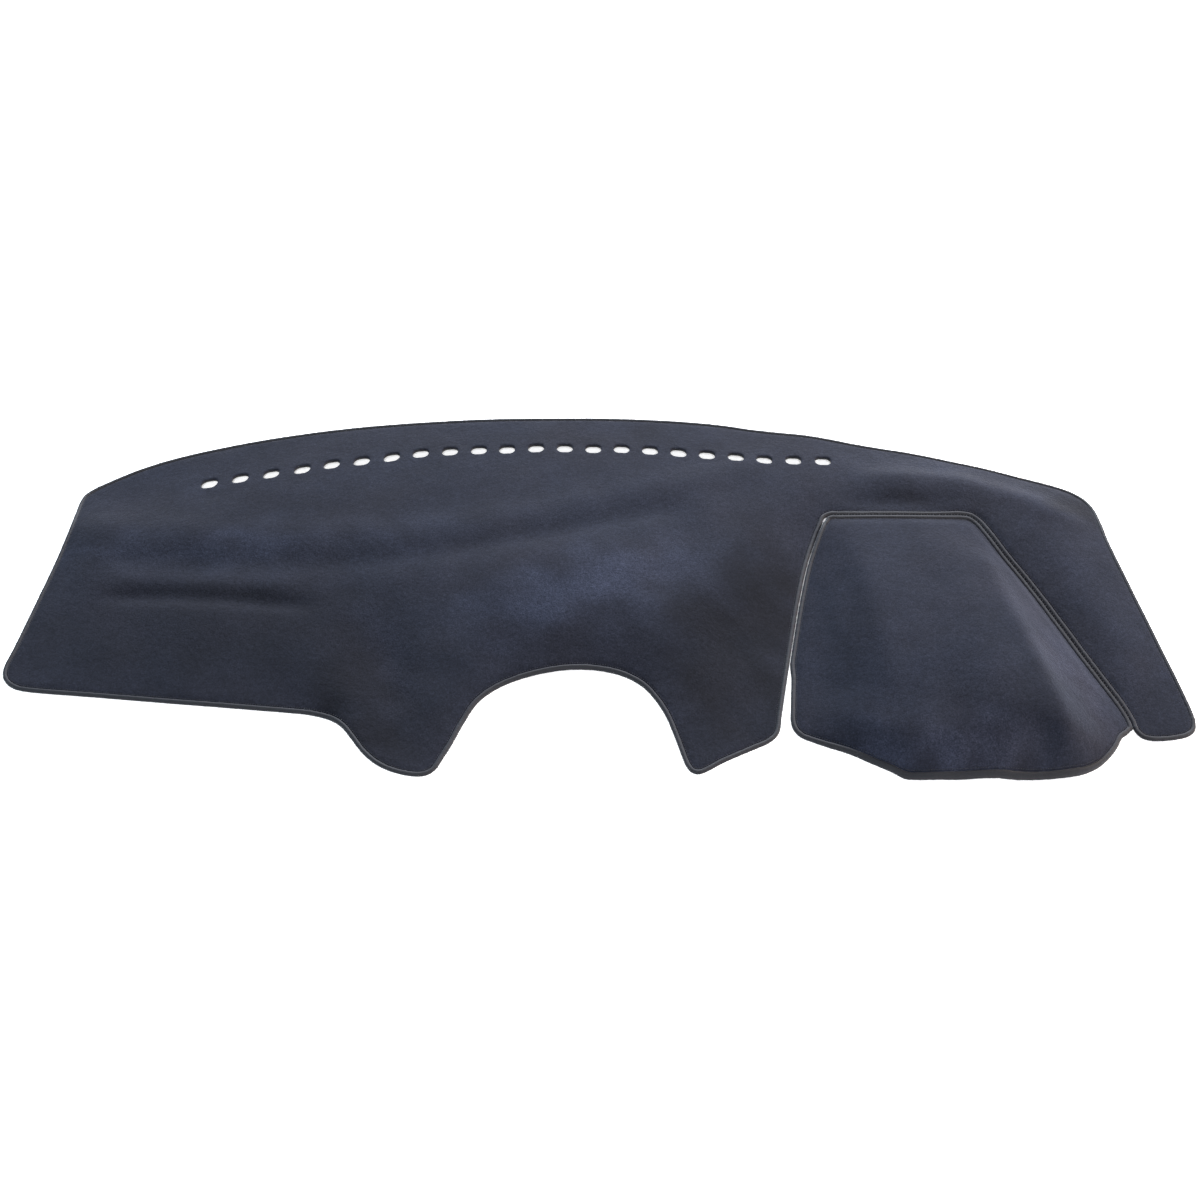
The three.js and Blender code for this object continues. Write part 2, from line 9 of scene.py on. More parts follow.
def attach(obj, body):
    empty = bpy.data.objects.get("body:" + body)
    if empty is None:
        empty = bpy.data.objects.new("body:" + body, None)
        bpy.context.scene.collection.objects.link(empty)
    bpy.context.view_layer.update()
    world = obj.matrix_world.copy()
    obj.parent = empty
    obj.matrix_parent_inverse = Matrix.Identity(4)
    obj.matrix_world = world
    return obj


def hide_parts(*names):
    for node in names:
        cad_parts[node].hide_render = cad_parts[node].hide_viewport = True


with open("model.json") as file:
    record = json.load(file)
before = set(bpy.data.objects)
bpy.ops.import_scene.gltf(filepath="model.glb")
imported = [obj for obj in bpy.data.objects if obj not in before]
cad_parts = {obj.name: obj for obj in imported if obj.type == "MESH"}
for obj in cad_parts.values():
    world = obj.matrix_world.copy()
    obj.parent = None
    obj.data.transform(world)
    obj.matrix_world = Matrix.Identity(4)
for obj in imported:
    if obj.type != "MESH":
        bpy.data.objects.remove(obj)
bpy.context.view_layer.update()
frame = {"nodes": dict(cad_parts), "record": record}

# Dashboard cover mat, as it lies on a floor. Plan figures are in millimetres and are
# turned into metres when a mesh is made.
SEAT = np.array([0.0, 0.013, -2.674])
FELT = 5.0
REST, REST_BLEND = 6.3, 2.0
BIND_WIDTH, BIND_OVER, BIND_UNDER = 6.0, 1.2, -0.8
SEAM_GAP, SEAM_BLEND, STEP = 0.6, 20.0, 24.0
SLOT_LENGTH, SLOT_WIDTH, SLOT_CORNER = 22.0, 18.0, 8.2
SCALE, RELIEF_EASE, HOOD_EASE, FOLD_TAPER = 100.0, 0.015, 0.0075, 60.0
THINNEST_SLOPE = 0.5
PITCH = 3.0  # overlock thread, loop to loop
GRID = 5.0

FREE_EDGE = [
    (652.8, -228.6), (659.3, -237.6), (668.8, -241.4), (681.8, -242.1), (699.8, -240.1), (715.8, -235.6),
    (725.3, -227.6), (728.8, -215.6), (728.3, -199.6), (723.8, -170.6), (710.6, -104.6), (695.6, -29.6),
    (680.3, 44.4), (676.3, 72.4), (674.3, 104.4), (671.3, 131.4), (663.8, 151.4), (647.8, 167.4),
    (620.8, 180.4), (582.3, 194.4), (531.8, 210.9), (465.8, 230.4), (430.8, 239.4), (396.4, 246.4),
    (360.8, 253.9), (327.8, 262.4), (291.8, 269.2), (257.8, 272.4), (220.8, 277.4), (186.8, 284.9),
    (149.4, 290.9), (96.5, 295.9), (25.2, 299.7), (-46.2, 300.4), (-154, 298.9), (-225.2, 294.9),
    (-272.2, 290.9), (-329.2, 284.9), (-399.7, 274.4), (-468.7, 260.4), (-525.2, 245.9), (-559.2, 235.4),
    (-592.2, 222.9), (-625.2, 206.9), (-656.2, 188.4), (-678.2, 172.4), (-687.7, 160.4), (-690.7, 145.4),
    (-690.2, 124.4), (-690.2, 96.4), (-696.7, 49.4), (-709.7, -25.6), (-723.7, -105.6), (-728.8, -131.6),
    (-726.7, -146.6), (-719.2, -157.6), (-707.2, -165.1), (-693.2, -168.6), (-598.2, -178.1),
    (-502.2, -187.6), (-408.7, -196.6), (-370.2, -200.1), (-340.2, -204.1), (-318.2, -211.6),
    (-302.2, -223.6), (-288.7, -240.6), (-273.2, -261.1), (-254.7, -277.6), (-232.8, -288.1),
    (-206.2, -293.1), (-193.2, -290.6), (-184.2, -283.1), (-177.2, -269.6), (-166.8, -248.2),
    (-153.2, -215.6), (-138.2, -188.6), (-116.2, -168.6), (-87.2, -154.6), (-55.2, -145.6), (-24.2, -141.4),
    (7.3, -142.4), (37.8, -150.6), (61.8, -165.6), (76.8, -184.6), (88.8, -207.1), (99.8, -239.6),
    (107.8, -267.6), (112.3, -280.1), (118.3, -287.6), (127.8, -289.6), (158.8, -272.6), (190.8, -256.1),
    (212.8, -244.6), (222.3, -235.6), (227.3, -223.6), (229.8, -207.6), (241.6, -144.6), (255.4, -73.6),
    (265.8, -23.6), (279.5, 31.1), (292.8, 69.4), (301.8, 91.4),
]
SEAM_EDGE = [
    (306.3, 101.9), (313.8, 105.9), (327.8, 106.2), (357.8, 106), (413.8, 106), (468.8, 105.7),
    (486.8, 105.4), (498.8, 102.6), (507.8, 93.9), (515.3, 80.4), (534.8, 41.4), (558.8, -3.9),
    (583.8, -57.1), (608.2, -112.6), (629.3, -159.6), (643.8, -193.6), (649.8, -212.6),
]
HOOD_EDGE = [
    (650, -223.1), (644.8, -231), (635.1, -239.4), (626.2, -253.7), (614, -268.5), (599.8, -280.7),
    (580.9, -290.7), (556.4, -296.2), (499.2, -299.8), (438.1, -300.4), (384.5, -299.6), (367.6, -296.7),
    (352, -287.3), (333.2, -276.2), (306.4, -262), (282.6, -251.8), (263.7, -243.5), (250.3, -236.2),
    (242.6, -226), (239.9, -211.5), (241, -197.5), (244.2, -161.6), (250.5, -105.6), (261.1, -52.6),
    (273.6, 2.4), (284.7, 42.4), (290.3, 58.4), (298.6, 80.4), (306, 94.9),
]
SLOTS = [
    (-518, 172.5), (-476.8, 179.6), (-435.4, 186), (-394, 192.9), (-354.8, 201.7), (-314.5, 207.4),
    (-274.1, 214.3), (-235.1, 221.3), (-195.1, 224.3), (-155.9, 226.5), (-117.3, 227.2), (-77.7, 229.3),
    (-38.4, 228.9), (0.6, 227.5), (39.3, 228.1), (78.1, 225.2), (116.9, 220.8), (155.5, 215.7),
    (194.6, 210.4), (232.8, 205.6), (272.7, 207.3), (313.1, 207.4),
]
RELIEF = [
    (-691.1, 146.4, 8), (-625.2, 206.5, 8), (-525.2, 245.1, 10), (-399.7, 275.5, 13), (-225.3, 296.4, 16),
    (-46.2, 299.5, 18), (149.4, 290.3, 18), (291.8, 269.7, 16), (395, 244, 13), (496, 221.8, 10),
    (582.4, 193.2, 8), (663.3, 152, 8), (-620.2, 140.8, 14), (-514, 157.2, 22), (-387.6, 186, 27),
    (-218.2, 204.8, 31), (-44.6, 212.4, 33), (145.6, 207.6, 32), (280.5, 194.4, 30), (-687.4, 100.7, 18),
    (-695.6, 53.8, 15), (-709.4, -19.8, 11), (-724.8, -113.3, 8), (-710.2, -162.4, 7), (-598.1, -177.7, 7),
    (-502.7, -186.7, 7), (-408.7, -197.3, 7), (-322.7, -207.8, 7), (-288.9, -240.1, 11), (-254.7, -279.1, 9),
    (-202, -291.9, 7), (-166.8, -248.2, 8), (-152.9, -215.2, 9), (-117.2, -168.4, 13), (-55.3, -146.1, 16),
    (7.3, -141.5, 16), (66, -168.4, 13), (99.5, -240.9, 8), (127.5, -290.5, 7), (190.8, -254.7, 7),
    (224.7, -230, 7), (241.6, -144.6, 8), (258.9, -59.5, 11), (279.5, 31.2, 17), (294.4, 75.6, 22),
    (-634, 85.3, 25), (-512.1, 70.1, 32), (-372.1, 59.4, 36), (-173.9, 75.1, 40), (25.7, 125.3, 40),
    (128.7, 157.6, 37), (224.9, 175.4, 34), (-503.6, 7.9, 26), (-374.1, 3.5, 31), (-257.5, -6.7, 37),
    (-618.5, -72.5, 17), (-489.8, -85.4, 23), (-376.7, -87.8, 26), (-608.2, -132.2, 12), (-482, -145.4, 15),
    (-382.5, -154.6, 15), (-329.9, -118.8, 25), (-301.9, -183.6, 19), (-286.4, -224.7, 14),
    (-262.8, -79, 25), (-256.1, -126.7, 15), (-243.3, -184.4, 10), (-231.7, -242.4, 8), (-199.8, -121.2, 28),
    (-188.5, -191.9, 20), (-181.3, -241.6, 11), (-169.6, -2.6, 42), (-103.2, -45.1, 43), (-41.2, 10.8, 46),
    (35.3, 10.8, 46), (102.4, -11.9, 43), (139.7, 66.2, 42), (-39.9, -82.4, 39), (47.1, -84.8, 38),
    (-113.6, -120.4, 27), (227.5, 114.5, 38), (183.9, 46, 45), (142.1, -30.3, 45), (109, -89.6, 38),
    (228.7, 24, 31), (198.8, -54.6, 25), (170.5, -122.7, 20), (224, -108.5, 12), (132.1, -150, 25),
    (145.3, -195.7, 15), (191.6, -198.8, 9), (308.2, 105.8, 28), (358.2, 104.9, 29), (413.7, 105.6, 29),
    (468.9, 102.7, 28), (504, 97.8, 27), (534.2, 40.6, 22), (558.8, -3.8, 18), (583.7, -57, 14),
    (608.2, -112.5, 11), (629.4, -159.3, 9), (650.6, -219.6, 7), (344.7, 161.4, 33), (418.1, 161.4, 35),
    (490.1, 151.1, 36), (553.4, 128.2, 35), (609.8, 98.5, 32), (364.2, 211.8, 24), (456.7, 190.8, 26),
    (560.6, 160.8, 24), (533.2, 77.2, 30), (578.5, 34.4, 29), (613.3, -25.8, 26), (640.7, -87, 21),
    (660.5, -150, 15), (670.7, 78.3, 19), (695.7, -29, 14), (710.7, -104.6, 11), (724, -170.8, 8),
    (720.5, -230, 7), (680.2, -238.7, 7),
]
HOOD_RELIEF = [
    (306.9, 105.8, 28), (358.2, 104.9, 29), (413.7, 105.6, 29), (468.9, 102.7, 28), (504, 97.8, 27),
    (534.2, 40.6, 22), (558.8, -3.8, 18), (583.7, -57, 14), (608.2, -112.5, 11), (629.4, -159.3, 9),
    (649.7, -212.2, 7), (626.6, -253.2, 9), (593.1, -284, 10), (556.5, -295.3, 12), (499.4, -298.7, 13),
    (431.3, -300.2, 13), (367.8, -294.6, 11), (333.8, -274.8, 9), (282.8, -251.8, 7), (246.3, -230.7, 6),
    (246.5, -161.6, 8), (259.1, -91, 10), (273.1, -20.6, 14), (289.2, 42.4, 20), (335.7, 45.4, 36),
    (345.2, -19.4, 42), (352.5, -88.1, 46), (358.3, -158.5, 46), (362.3, -214.8, 41), (311.1, -7.4, 28),
    (304.5, -106.2, 29), (303.3, -179, 23), (403.3, 41.9, 40), (419.3, -25.4, 49), (422, -95.5, 55),
    (424.2, -167.8, 58), (428.8, -225.1, 55), (466.7, 38.3, 44), (500.9, 10.8, 46), (509.1, -47.9, 56),
    (519.6, -111.6, 65), (533.3, -171, 68), (545.9, -225.2, 65), (555.3, -262, 56), (545.9, -68.7, 42),
    (564.3, -122.8, 40), (583.4, -179.7, 34), (600.5, -226, 26), (320.9, -243.5, 24), (373.4, -269.3, 34),
    (429.8, -280.6, 38), (487.6, -282, 40), (535.8, -274.9, 38), (303.3, -214.2, 26), (339.4, -235.4, 35),
    (385.5, -254.9, 44), (441.8, -265.6, 49), (493.4, -267.7, 52), (532.8, -262, 52),
]
# line, rise, width
FOLDS = [
    ([(-704, 94.3), (-512.2, 70.2), (-372.3, 61.1), (-250, 63.4), (-173.9, 75.1), (-74, 94.2), (25.7, 127.2), (128.8, 159.6), (267.7, 202.7)], 3.6, 28),
    ([(-657.5, 33.1), (-505.5, 21.9), (-367.8, 17.4), (-272.2, 18), (-171.7, 36.9), (-73, 57.1), (25.5, 85), (141.9, 121.9)], -4, 20),
    ([(-647.8, -25.6), (-497.5, -33), (-330.1, -51.9)], -4.6, 13),
    ([(-637, -6), (-501, -10.1), (-352.2, -21.4)], 1.6, 14),
    ([(332.2, 169.8), (419, 168), (491.8, 160.5), (555.4, 137.9), (611.6, 107.1), (665.3, 73.1)], 5, 22),
    ([(309.7, 126.5), (415.6, 126.4), (492.9, 118.5)], -4, 14),
    ([(-165.9, -50.2), (-66.7, 7.6), (35.4, 17.8), (111.4, -7.5)], 3.5, 40),
]
HOOD_FOLDS = [
    ([(345.4, 63.8), (351.9, -71.4), (360, -165.8), (361.8, -229.6)], 2.5, 18),
    ([(498.4, 44.6), (510, -43.4), (522.5, -110.4), (536.3, -169.6), (548.7, -224.4), (563.5, -266.7)], 5, 16),
]

# Painted light and shade: soft patches where the felt is coloured lighter or darker, warmer or cooler, to stand
# for light and shade on the relief.
# x, y, half length, half width, turn in degrees, tone, warmth
MAIN_PAINTED_LIGHT = [
    (-525, -106, 232, 80, -2, -0.34, 0),
    (-492, -31, 146, 21, -1, -0.22, 0),
    (-509, 46, 232, 21, 0, 0.42, -0.2),
    (-440, 115, 268, 32, 2, -0.22, 0.1),
    (35, -16, 98, 54, 8, 0.26, -0.2),
    (240, -107, 32, 127, 8, -0.42, 0.2),
    (229, -20, 39, 70, 10, -0.38, 0.4),
    (-340, 54, 146, 24, 2, 0.1, 0),
    (-43, 95, 183, 25, 12, 0.1, -0.1),
    (-90, -51, 116, 41, 12, 0.44, -0.5),
    (73, -3, 110, 48, 14, 0.42, 0.1),
    (-3, -113, 110, 32, 0, -0.05, 0),
    (160, -139, 51, 143, -12, -0.58, 0.75),
    (122, -68, 49, 64, 20, -0.22, 0.5),
    (214, -186, 24, 96, 8, -0.55, -0.6),
    (-282, -182, 41, 119, 18, -0.56, 0),
    (-235, -250, 61, 48, 0, -0.3, 0.1),
    (-179, -164, 27, 96, -25, -0.12, -0.6),
    (-417, -64, 110, 48, 0, -0.22, 0),
    (-45, 247, 512, 35, 0, -0.2, 0.25),
    (275, 129, 49, 48, 0, 0.05, 0.2),
    (677, 132, 71, 35, -32, -0.95, 0.3),
    (716, 120, 32, 41, 0, -0.35, 0),
    (529, 177, 73, 16, -14, -0.05, 0),
    (408, 123, 92, 14, -3, -0.22, 0.2),
    (579, 124, 73, 19, -22, 0.2, -0.2),
    (667, -83, 34, 127, 24, 0.12, -0.3),
    (693, -206, 29, 41, 0, -0.22, -0.4),
]
# painted light and shade on the hood: lighter and warmer on its right side, cooler and darker along its left edge
HOOD_PAINTED_LIGHT = [
    (297, -54, 20, 159, 8, -0.14, -0.8),
    (305, -196, 49, 64, 0, -0.08, -0.7),
    (426, -62, 73, 127, 0, 0.04, 0),
    (380, -140, 85, 96, 0, 0, -0.4),
    (589, -149, 33, 124, 32, 0.5, 0.8),
    (555, -21, 20, 64, 34, 0.16, 0.4),
    (520, -185, 21, 99, 24, -0.2, -0.5),
    (607, -249, 32, 45, 0, 0.26, 1.3),
    (407, -271, 152, 29, -2, 0.75, 0),
    (602, -16, 22, 96, 30, 0, 0.2),
]


# ---- relief ------------------------------------------------------------------
def kernel(d2):
    return 0.5 * d2 * np.log(np.maximum(d2, 1e-18))


def thin_plate(points, ease):
    P = np.array(points, float)
    q, z = P[:, :2] / SCALE, P[:, 2]
    n = len(q)
    A = np.zeros((n + 3, n + 3))
    A[:n, :n] = kernel(((q[:, None] - q[None]) ** 2).sum(-1)) + ease * np.eye(n)
    A[:n, n] = A[n, :n] = 1
    A[:n, n + 1 :], A[n + 1 :, :n] = q, q.T
    w = np.linalg.solve(A, np.concatenate([z, np.zeros(3)]))

    def height(xy):
        out = np.empty(len(xy))
        for s in range(0, len(xy), 8000):
            p = xy[s : s + 8000] / SCALE
            out[s : s + 8000] = kernel(((p[:, None] - q[None]) ** 2).sum(-1)) @ w[:n] + w[n] + p @ w[n + 1 :]
        return out

    return height


def to_line(line, xy):
    line = np.array(line, float)
    best, at, run = np.full(len(xy), 1e9), np.zeros(len(xy)), 0.0
    for a, b in zip(line[:-1], line[1:]):
        d = b - a
        length = math.hypot(*d)
        t = np.clip(((xy - a) @ d) / length**2, 0, 1)
        r = np.hypot(*(xy - a - t[:, None] * d).T)
        nearer = r < best
        best, at = np.where(nearer, r, best), np.where(nearer, run + t * length, at)
        run += length
    return best, at, run


def smooth(t):
    t = np.clip(t, 0, 1)
    return t * t * (3 - 2 * t)


def fold_rise(fold, xy):
    line, rise, width = fold
    d, at, run = to_line(line, xy)
    return rise * np.exp(-((d / width) ** 2)) * smooth(np.minimum(at, run - at) / FOLD_TAPER)


def rested(z):
    d = z - REST
    return REST + 0.5 * (d + np.sqrt(d * d + REST_BLEND**2))


plate_main, plate_hood = thin_plate(RELIEF, RELIEF_EASE), thin_plate(HOOD_RELIEF, HOOD_EASE)


def main_top(xy):
    return rested(plate_main(xy) + sum(fold_rise(f, xy) for f in FOLDS))


def hood_top(xy):
    own = rested(plate_hood(xy) + sum(fold_rise(f, xy) for f in HOOD_FOLDS))
    w = smooth(to_line(SEAM_EDGE, xy)[0] / SEAM_BLEND)
    return own * w + main_top(xy) * (1 - w)


def normals(top, xy, e=1.5):
    gx = (top(xy + [e, 0]) - top(xy - [e, 0])) / (2 * e)
    gy = (top(xy + [0, e]) - top(xy - [0, e])) / (2 * e)
    n = np.stack([-gx, -gy, np.ones(len(xy))], 1)
    return n / np.linalg.norm(n, axis=1, keepdims=True)


# ---- outlines ------------------------------------------------------------------
def catmull(points, i, t):
    n = len(points)
    p = [points[(i + k) % n] for k in (-1, 0, 1, 2)]
    dt = [max(((p[k + 1] - p[k]) ** 2).sum() ** 0.25, 1e-4) for k in range(3)]
    t1 = (p[1] - p[0]) / dt[0] - (p[2] - p[0]) / (dt[0] + dt[1]) + (p[2] - p[1]) / dt[1]
    t2 = (p[2] - p[1]) / dt[1] - (p[3] - p[1]) / (dt[1] + dt[2]) + (p[3] - p[2]) / dt[2]
    t1, t2 = t1 * dt[1], t2 * dt[1]
    c2 = -3 * p[1] + 3 * p[2] - 2 * t1 - t2
    c3 = 2 * p[1] - 2 * p[2] + t1 + t2
    return p[1] + t1 * t + c2 * t * t + c3 * t**3


def sampled(points, step):
    points = [np.array(p, float) for p in points]
    out, at = [], []
    for i, a in enumerate(points):
        b = points[(i + 1) % len(points)]
        parts = max(1, math.ceil(math.hypot(*(b - a)) / step))
        at.append(len(out))
        out += [catmull(points, i, k / parts) for k in range(parts)]
    return np.array(out), at


def area(loop):
    x, y = loop.T
    return 0.5 * (x * np.roll(y, -1) - np.roll(x, -1) * y).sum()


def mitres(loop):
    a, b = loop - np.roll(loop, 1, 0), np.roll(loop, -1, 0) - loop
    na, nb = (np.stack([-v[:, 1], v[:, 0]], 1) / np.linalg.norm(v, axis=1, keepdims=True) for v in (a, b))
    m = (na + nb) * np.sign(area(loop))
    return m * np.minimum(2 / (m**2).sum(1), 1.3)[:, None]


def even(loop, count):
    closed = np.vstack([loop, loop[:1]])
    run = np.concatenate([[0], np.cumsum(np.hypot(*np.diff(closed, axis=0).T))])
    s = np.linspace(0, run[-1], count, endpoint=False)
    return np.stack([np.interp(s, run, closed[:, k]) for k in (0, 1)], 1), run[-1]


coarse, coarse_at = sampled(SEAM_EDGE + FREE_EDGE, STEP)
seam_ids = range(coarse_at[1], coarse_at[len(SEAM_EDGE) - 1] + 1)
coarse_in = mitres(coarse)
HOOD_SEAM = [coarse[i] - coarse_in[i] * SEAM_GAP for i in seam_ids]
main_fine = sampled(SEAM_EDGE + FREE_EDGE, 0.8)[0]
hood_fine = sampled(HOOD_SEAM + HOOD_EDGE, 0.8)[0]
# the two overlocked edges press against each other where they run side by side
for k, p in enumerate(hood_fine):
    away = main_fine - p
    r = np.hypot(*away.T)
    j = r.argmin()
    if 0.2 < r[j] < 2.6:
        hood_fine[k] = p + away[j] / r[j] * (r[j] - 0.2)
    elif r[j] < 4.6:
        hood_fine[k] = p + away[j] / r[j] * 2.4 * (4.6 - r[j]) / 2.0


def slot_ring(i, grow, count=28):
    (x, y), a, b = SLOTS[i], SLOTS[max(0, i - 1)], SLOTS[min(len(SLOTS) - 1, i + 1)]
    lean = (b[1] - a[1]) / (b[0] - a[0])
    t = np.linspace(0, 2 * math.pi, count, endpoint=False) + math.pi / count
    c = SLOT_CORNER + grow
    u = np.sign(np.cos(t)) * (SLOT_LENGTH / 2 - SLOT_CORNER) + c * np.cos(t)
    v = np.sign(np.sin(t)) * (SLOT_WIDTH / 2 - SLOT_CORNER) + c * np.sin(t)
    return np.stack([x + u, y + v + u * lean], 1)


def inside(poly, pts):
    x, y = pts.T
    hit = np.zeros(len(pts), bool)
    for (ax, ay), (bx, by) in zip(poly, np.roll(poly, -1, 0)):
        if ay == by:
            continue
        cross = (ay > y) != (by > y)
        hit ^= cross & (x < (bx - ax) * (y - ay) / (by - ay) + ax)
    return hit


def near(points, pts, cell=8.0):
    """Distance from each point to the nearest of a dense ring's points, exact up to cell."""
    grid = {}
    for k, (a, b) in enumerate(np.floor(points / cell).astype(int)):
        grid.setdefault((a, b), []).append(k)
    out = np.full(len(pts), cell)
    for j, (a, b) in enumerate(np.floor(pts / cell).astype(int)):
        ks = [k for da in (-1, 0, 1) for db in (-1, 0, 1) for k in grid.get((a + da, b + db), ())]
        if ks:
            out[j] = min(cell, np.hypot(*(points[ks] - pts[j]).T).min())
    return out


def wobble(xy, seed, size, amount):
    """Soft, low swells in the cloth."""
    rng = np.random.default_rng(seed)
    out = np.zeros(len(xy))
    for k in range(14):
        a = rng.uniform(0, 2 * math.pi)
        f = 2 * math.pi / (size * rng.uniform(0.7, 1.8))
        out += np.sin(f * (xy @ [math.cos(a), math.sin(a)]) + rng.uniform(0, 6.28)) * rng.uniform(0.3, 1)
    return out * amount / 3.0


def tone_with_painted_light(painted_light_spots, xy, seed):
    """Tone and warmth at each point: a faint random drift, plus painted light and shade in patches with ragged
    soft borders.
    """
    q = xy + np.stack([wobble(xy, seed, 60, 16), wobble(xy, seed + 1, 60, 16)], 1)
    tone, warm = wobble(xy, seed + 2, 130, 0.05), wobble(xy, seed + 3, 170, 0.10)
    for x, y, a, b, turn, t, w in painted_light_spots:
        c, s = math.cos(math.radians(turn)), math.sin(math.radians(turn))
        u, v = (q - [x, y]) @ [c, s], (q - [x, y]) @ [-s, c]
        k = np.exp(-((u / a) ** 2 + (v / b) ** 2))
        tone, warm = tone + t * k, warm + w * k
    return tone, warm


# ---- mesh helpers ----------------------------------------------------------------
def make(name, verts, faces, mats, smooth_faces=True, indices=None):
    me = bpy.data.meshes.new(name)
    me.from_pydata((np.asarray(verts, float) + SEAT) / 1000.0, [], faces)
    for m in mats:
        me.materials.append(m)
    me.update()
    me.polygons.foreach_set("use_smooth", [smooth_faces] * len(me.polygons))
    if indices is not None:
        me.polygons.foreach_set("material_index", indices)
    me.validate()
    ob = bpy.data.objects.new(name, me)
    bpy.context.scene.collection.objects.link(ob)
    return ob


def panel(name, fine, top, step, holes, seed, mats, painted_light_spots):
    """A panel of felt with its backing, from its outline, with the holes' rims turned down."""
    n = max(40, int(even(fine, 10)[1] / 4.0))
    loop, _ = even(fine, n)
    m = mitres(loop)
    rims = [loop + m * d for d in (BIND_WIDTH - 0.8, BIND_WIDTH + 1.6, BIND_WIDTH + 4.2)]
    hole_rings = [[slot_ring(i, g) for g in (0.0, 0.7, 2.2)] for i in holes]
    lo, hi = loop.min(0), loop.max(0)
    gx, gy = np.meshgrid(np.arange(lo[0], hi[0], step), np.arange(lo[1], hi[1], step * 0.9))
    gx = gx + np.where(np.arange(len(gx)) % 2, step / 2, 0)[:, None]
    pts = np.stack([gx.ravel(), gy.ravel()], 1)
    pts = pts[inside(rims[2], pts)]
    pts = pts[near(rims[2], pts) > 2.6]
    for r in hole_rings:
        pts = pts[~inside(slot_ring(0, 0) * 0 + r[2], pts)]
        pts = pts[near(r[2], pts) > 1.8]
    all_pts, edges = [pts], []
    count = len(pts)

    def ring(r):
        nonlocal count
        all_pts.append(r)
        k = len(r)
        edges.extend((count + i, count + (i + 1) % k) for i in range(k))
        count += k

    for r in rims:
        ring(r)
    for rr in hole_rings:
        for r in rr:
            ring(r)
    all_pts = np.vstack(all_pts)
    co, _, fa, *_ = delaunay_2d_cdt([Vector(p) for p in all_pts], edges, [], 0, 1e-5)
    xy = np.array([(v.x, v.y) for v in co])
    tri = np.array([f for f in fa if len(f) == 3])
    mid = xy[tri].mean(1)
    keep = inside(rims[0], mid)
    for r in hole_rings:
        keep &= ~inside(r[0], mid)
    tri = tri[keep]
    used = np.unique(tri)
    remap = np.full(len(xy), -1)
    remap[used] = np.arange(len(used))
    xy, tri = xy[used], remap[tri]
    e1, e2 = xy[tri[:, 1]] - xy[tri[:, 0]], xy[tri[:, 2]] - xy[tri[:, 0]]
    flip = e1[:, 0] * e2[:, 1] - e1[:, 1] * e2[:, 0] < 0
    tri[flip] = tri[flip][:, ::-1]
    z = top(xy)
    nrm = normals(top, xy)
    d_edge = near(rims[0], xy, 10.0)
    # the needle line draws the felt down along the overlocked edge
    press = 0.9 * np.exp(-((np.maximum(d_edge - 1.2, 0) / 1.7) ** 2))
    fade = smooth((d_edge - 2) / 8)
    lift = wobble(xy, seed, 95, 0.55) * fade + wobble(xy, seed + 1, 34, 0.16) * fade
    for r in hole_rings:
        d0 = near(r[0], xy, 6.0)
        press += 0.75 * np.exp(-((d0 / 0.8) ** 2)) - 0.25 * np.exp(-(((d0 - 2.4) / 1.2) ** 2))
    P = np.column_stack([xy, z]) + nrm * (lift - press)[:, None]
    thick = FELT / np.maximum(THINNEST_SLOPE, nrm[:, 2])
    B = np.column_stack([xy, z - thick + np.minimum(lift, 0) * 0.5])
    # boundary of the top sheet
    seen = {}
    for a, b, c in tri:
        for u, v in ((a, b), (b, c), (c, a)):
            if (v, u) in seen:
                seen.pop((v, u))
            else:
                seen[(u, v)] = True
    k = len(P)
    M = (P + B) / 2
    rim_ids = np.unique([u for u, v in seen] + [v for u, v in seen])
    mid_of = {int(v): 2 * k + i for i, v in enumerate(rim_ids)}
    faces = [tuple(t) for t in tri.tolist()] + [(c + k, b + k, a + k) for a, b, c in tri.tolist()]
    idx = [0] * len(tri) + [1] * len(tri)
    for u, v in seen:
        u, v = int(u), int(v)
        faces.append((v, u, mid_of[u], mid_of[v]))
        faces.append((mid_of[v], mid_of[u], u + k, v + k))
        idx += [2, 1]
    ob = make(name, np.vstack([P, B, M[rim_ids]]), faces, mats, True, idx)
    # painted light and shade, with a faint random drift, kept per point for the felt's colour
    tone, warm = tone_with_painted_light(painted_light_spots, xy, seed + 5)
    tone, warm = (np.concatenate([v, v, v[rim_ids]]) for v in (tone, warm))
    for label, v in (("tone_with_painted_light", np.exp(tone)), ("warmth_with_painted_light", 0.5 + 0.5 * np.clip(warm, -1, 1))):
        ob.data.attributes.new(label, "FLOAT", "POINT").data.foreach_set("value", v)
    return ob


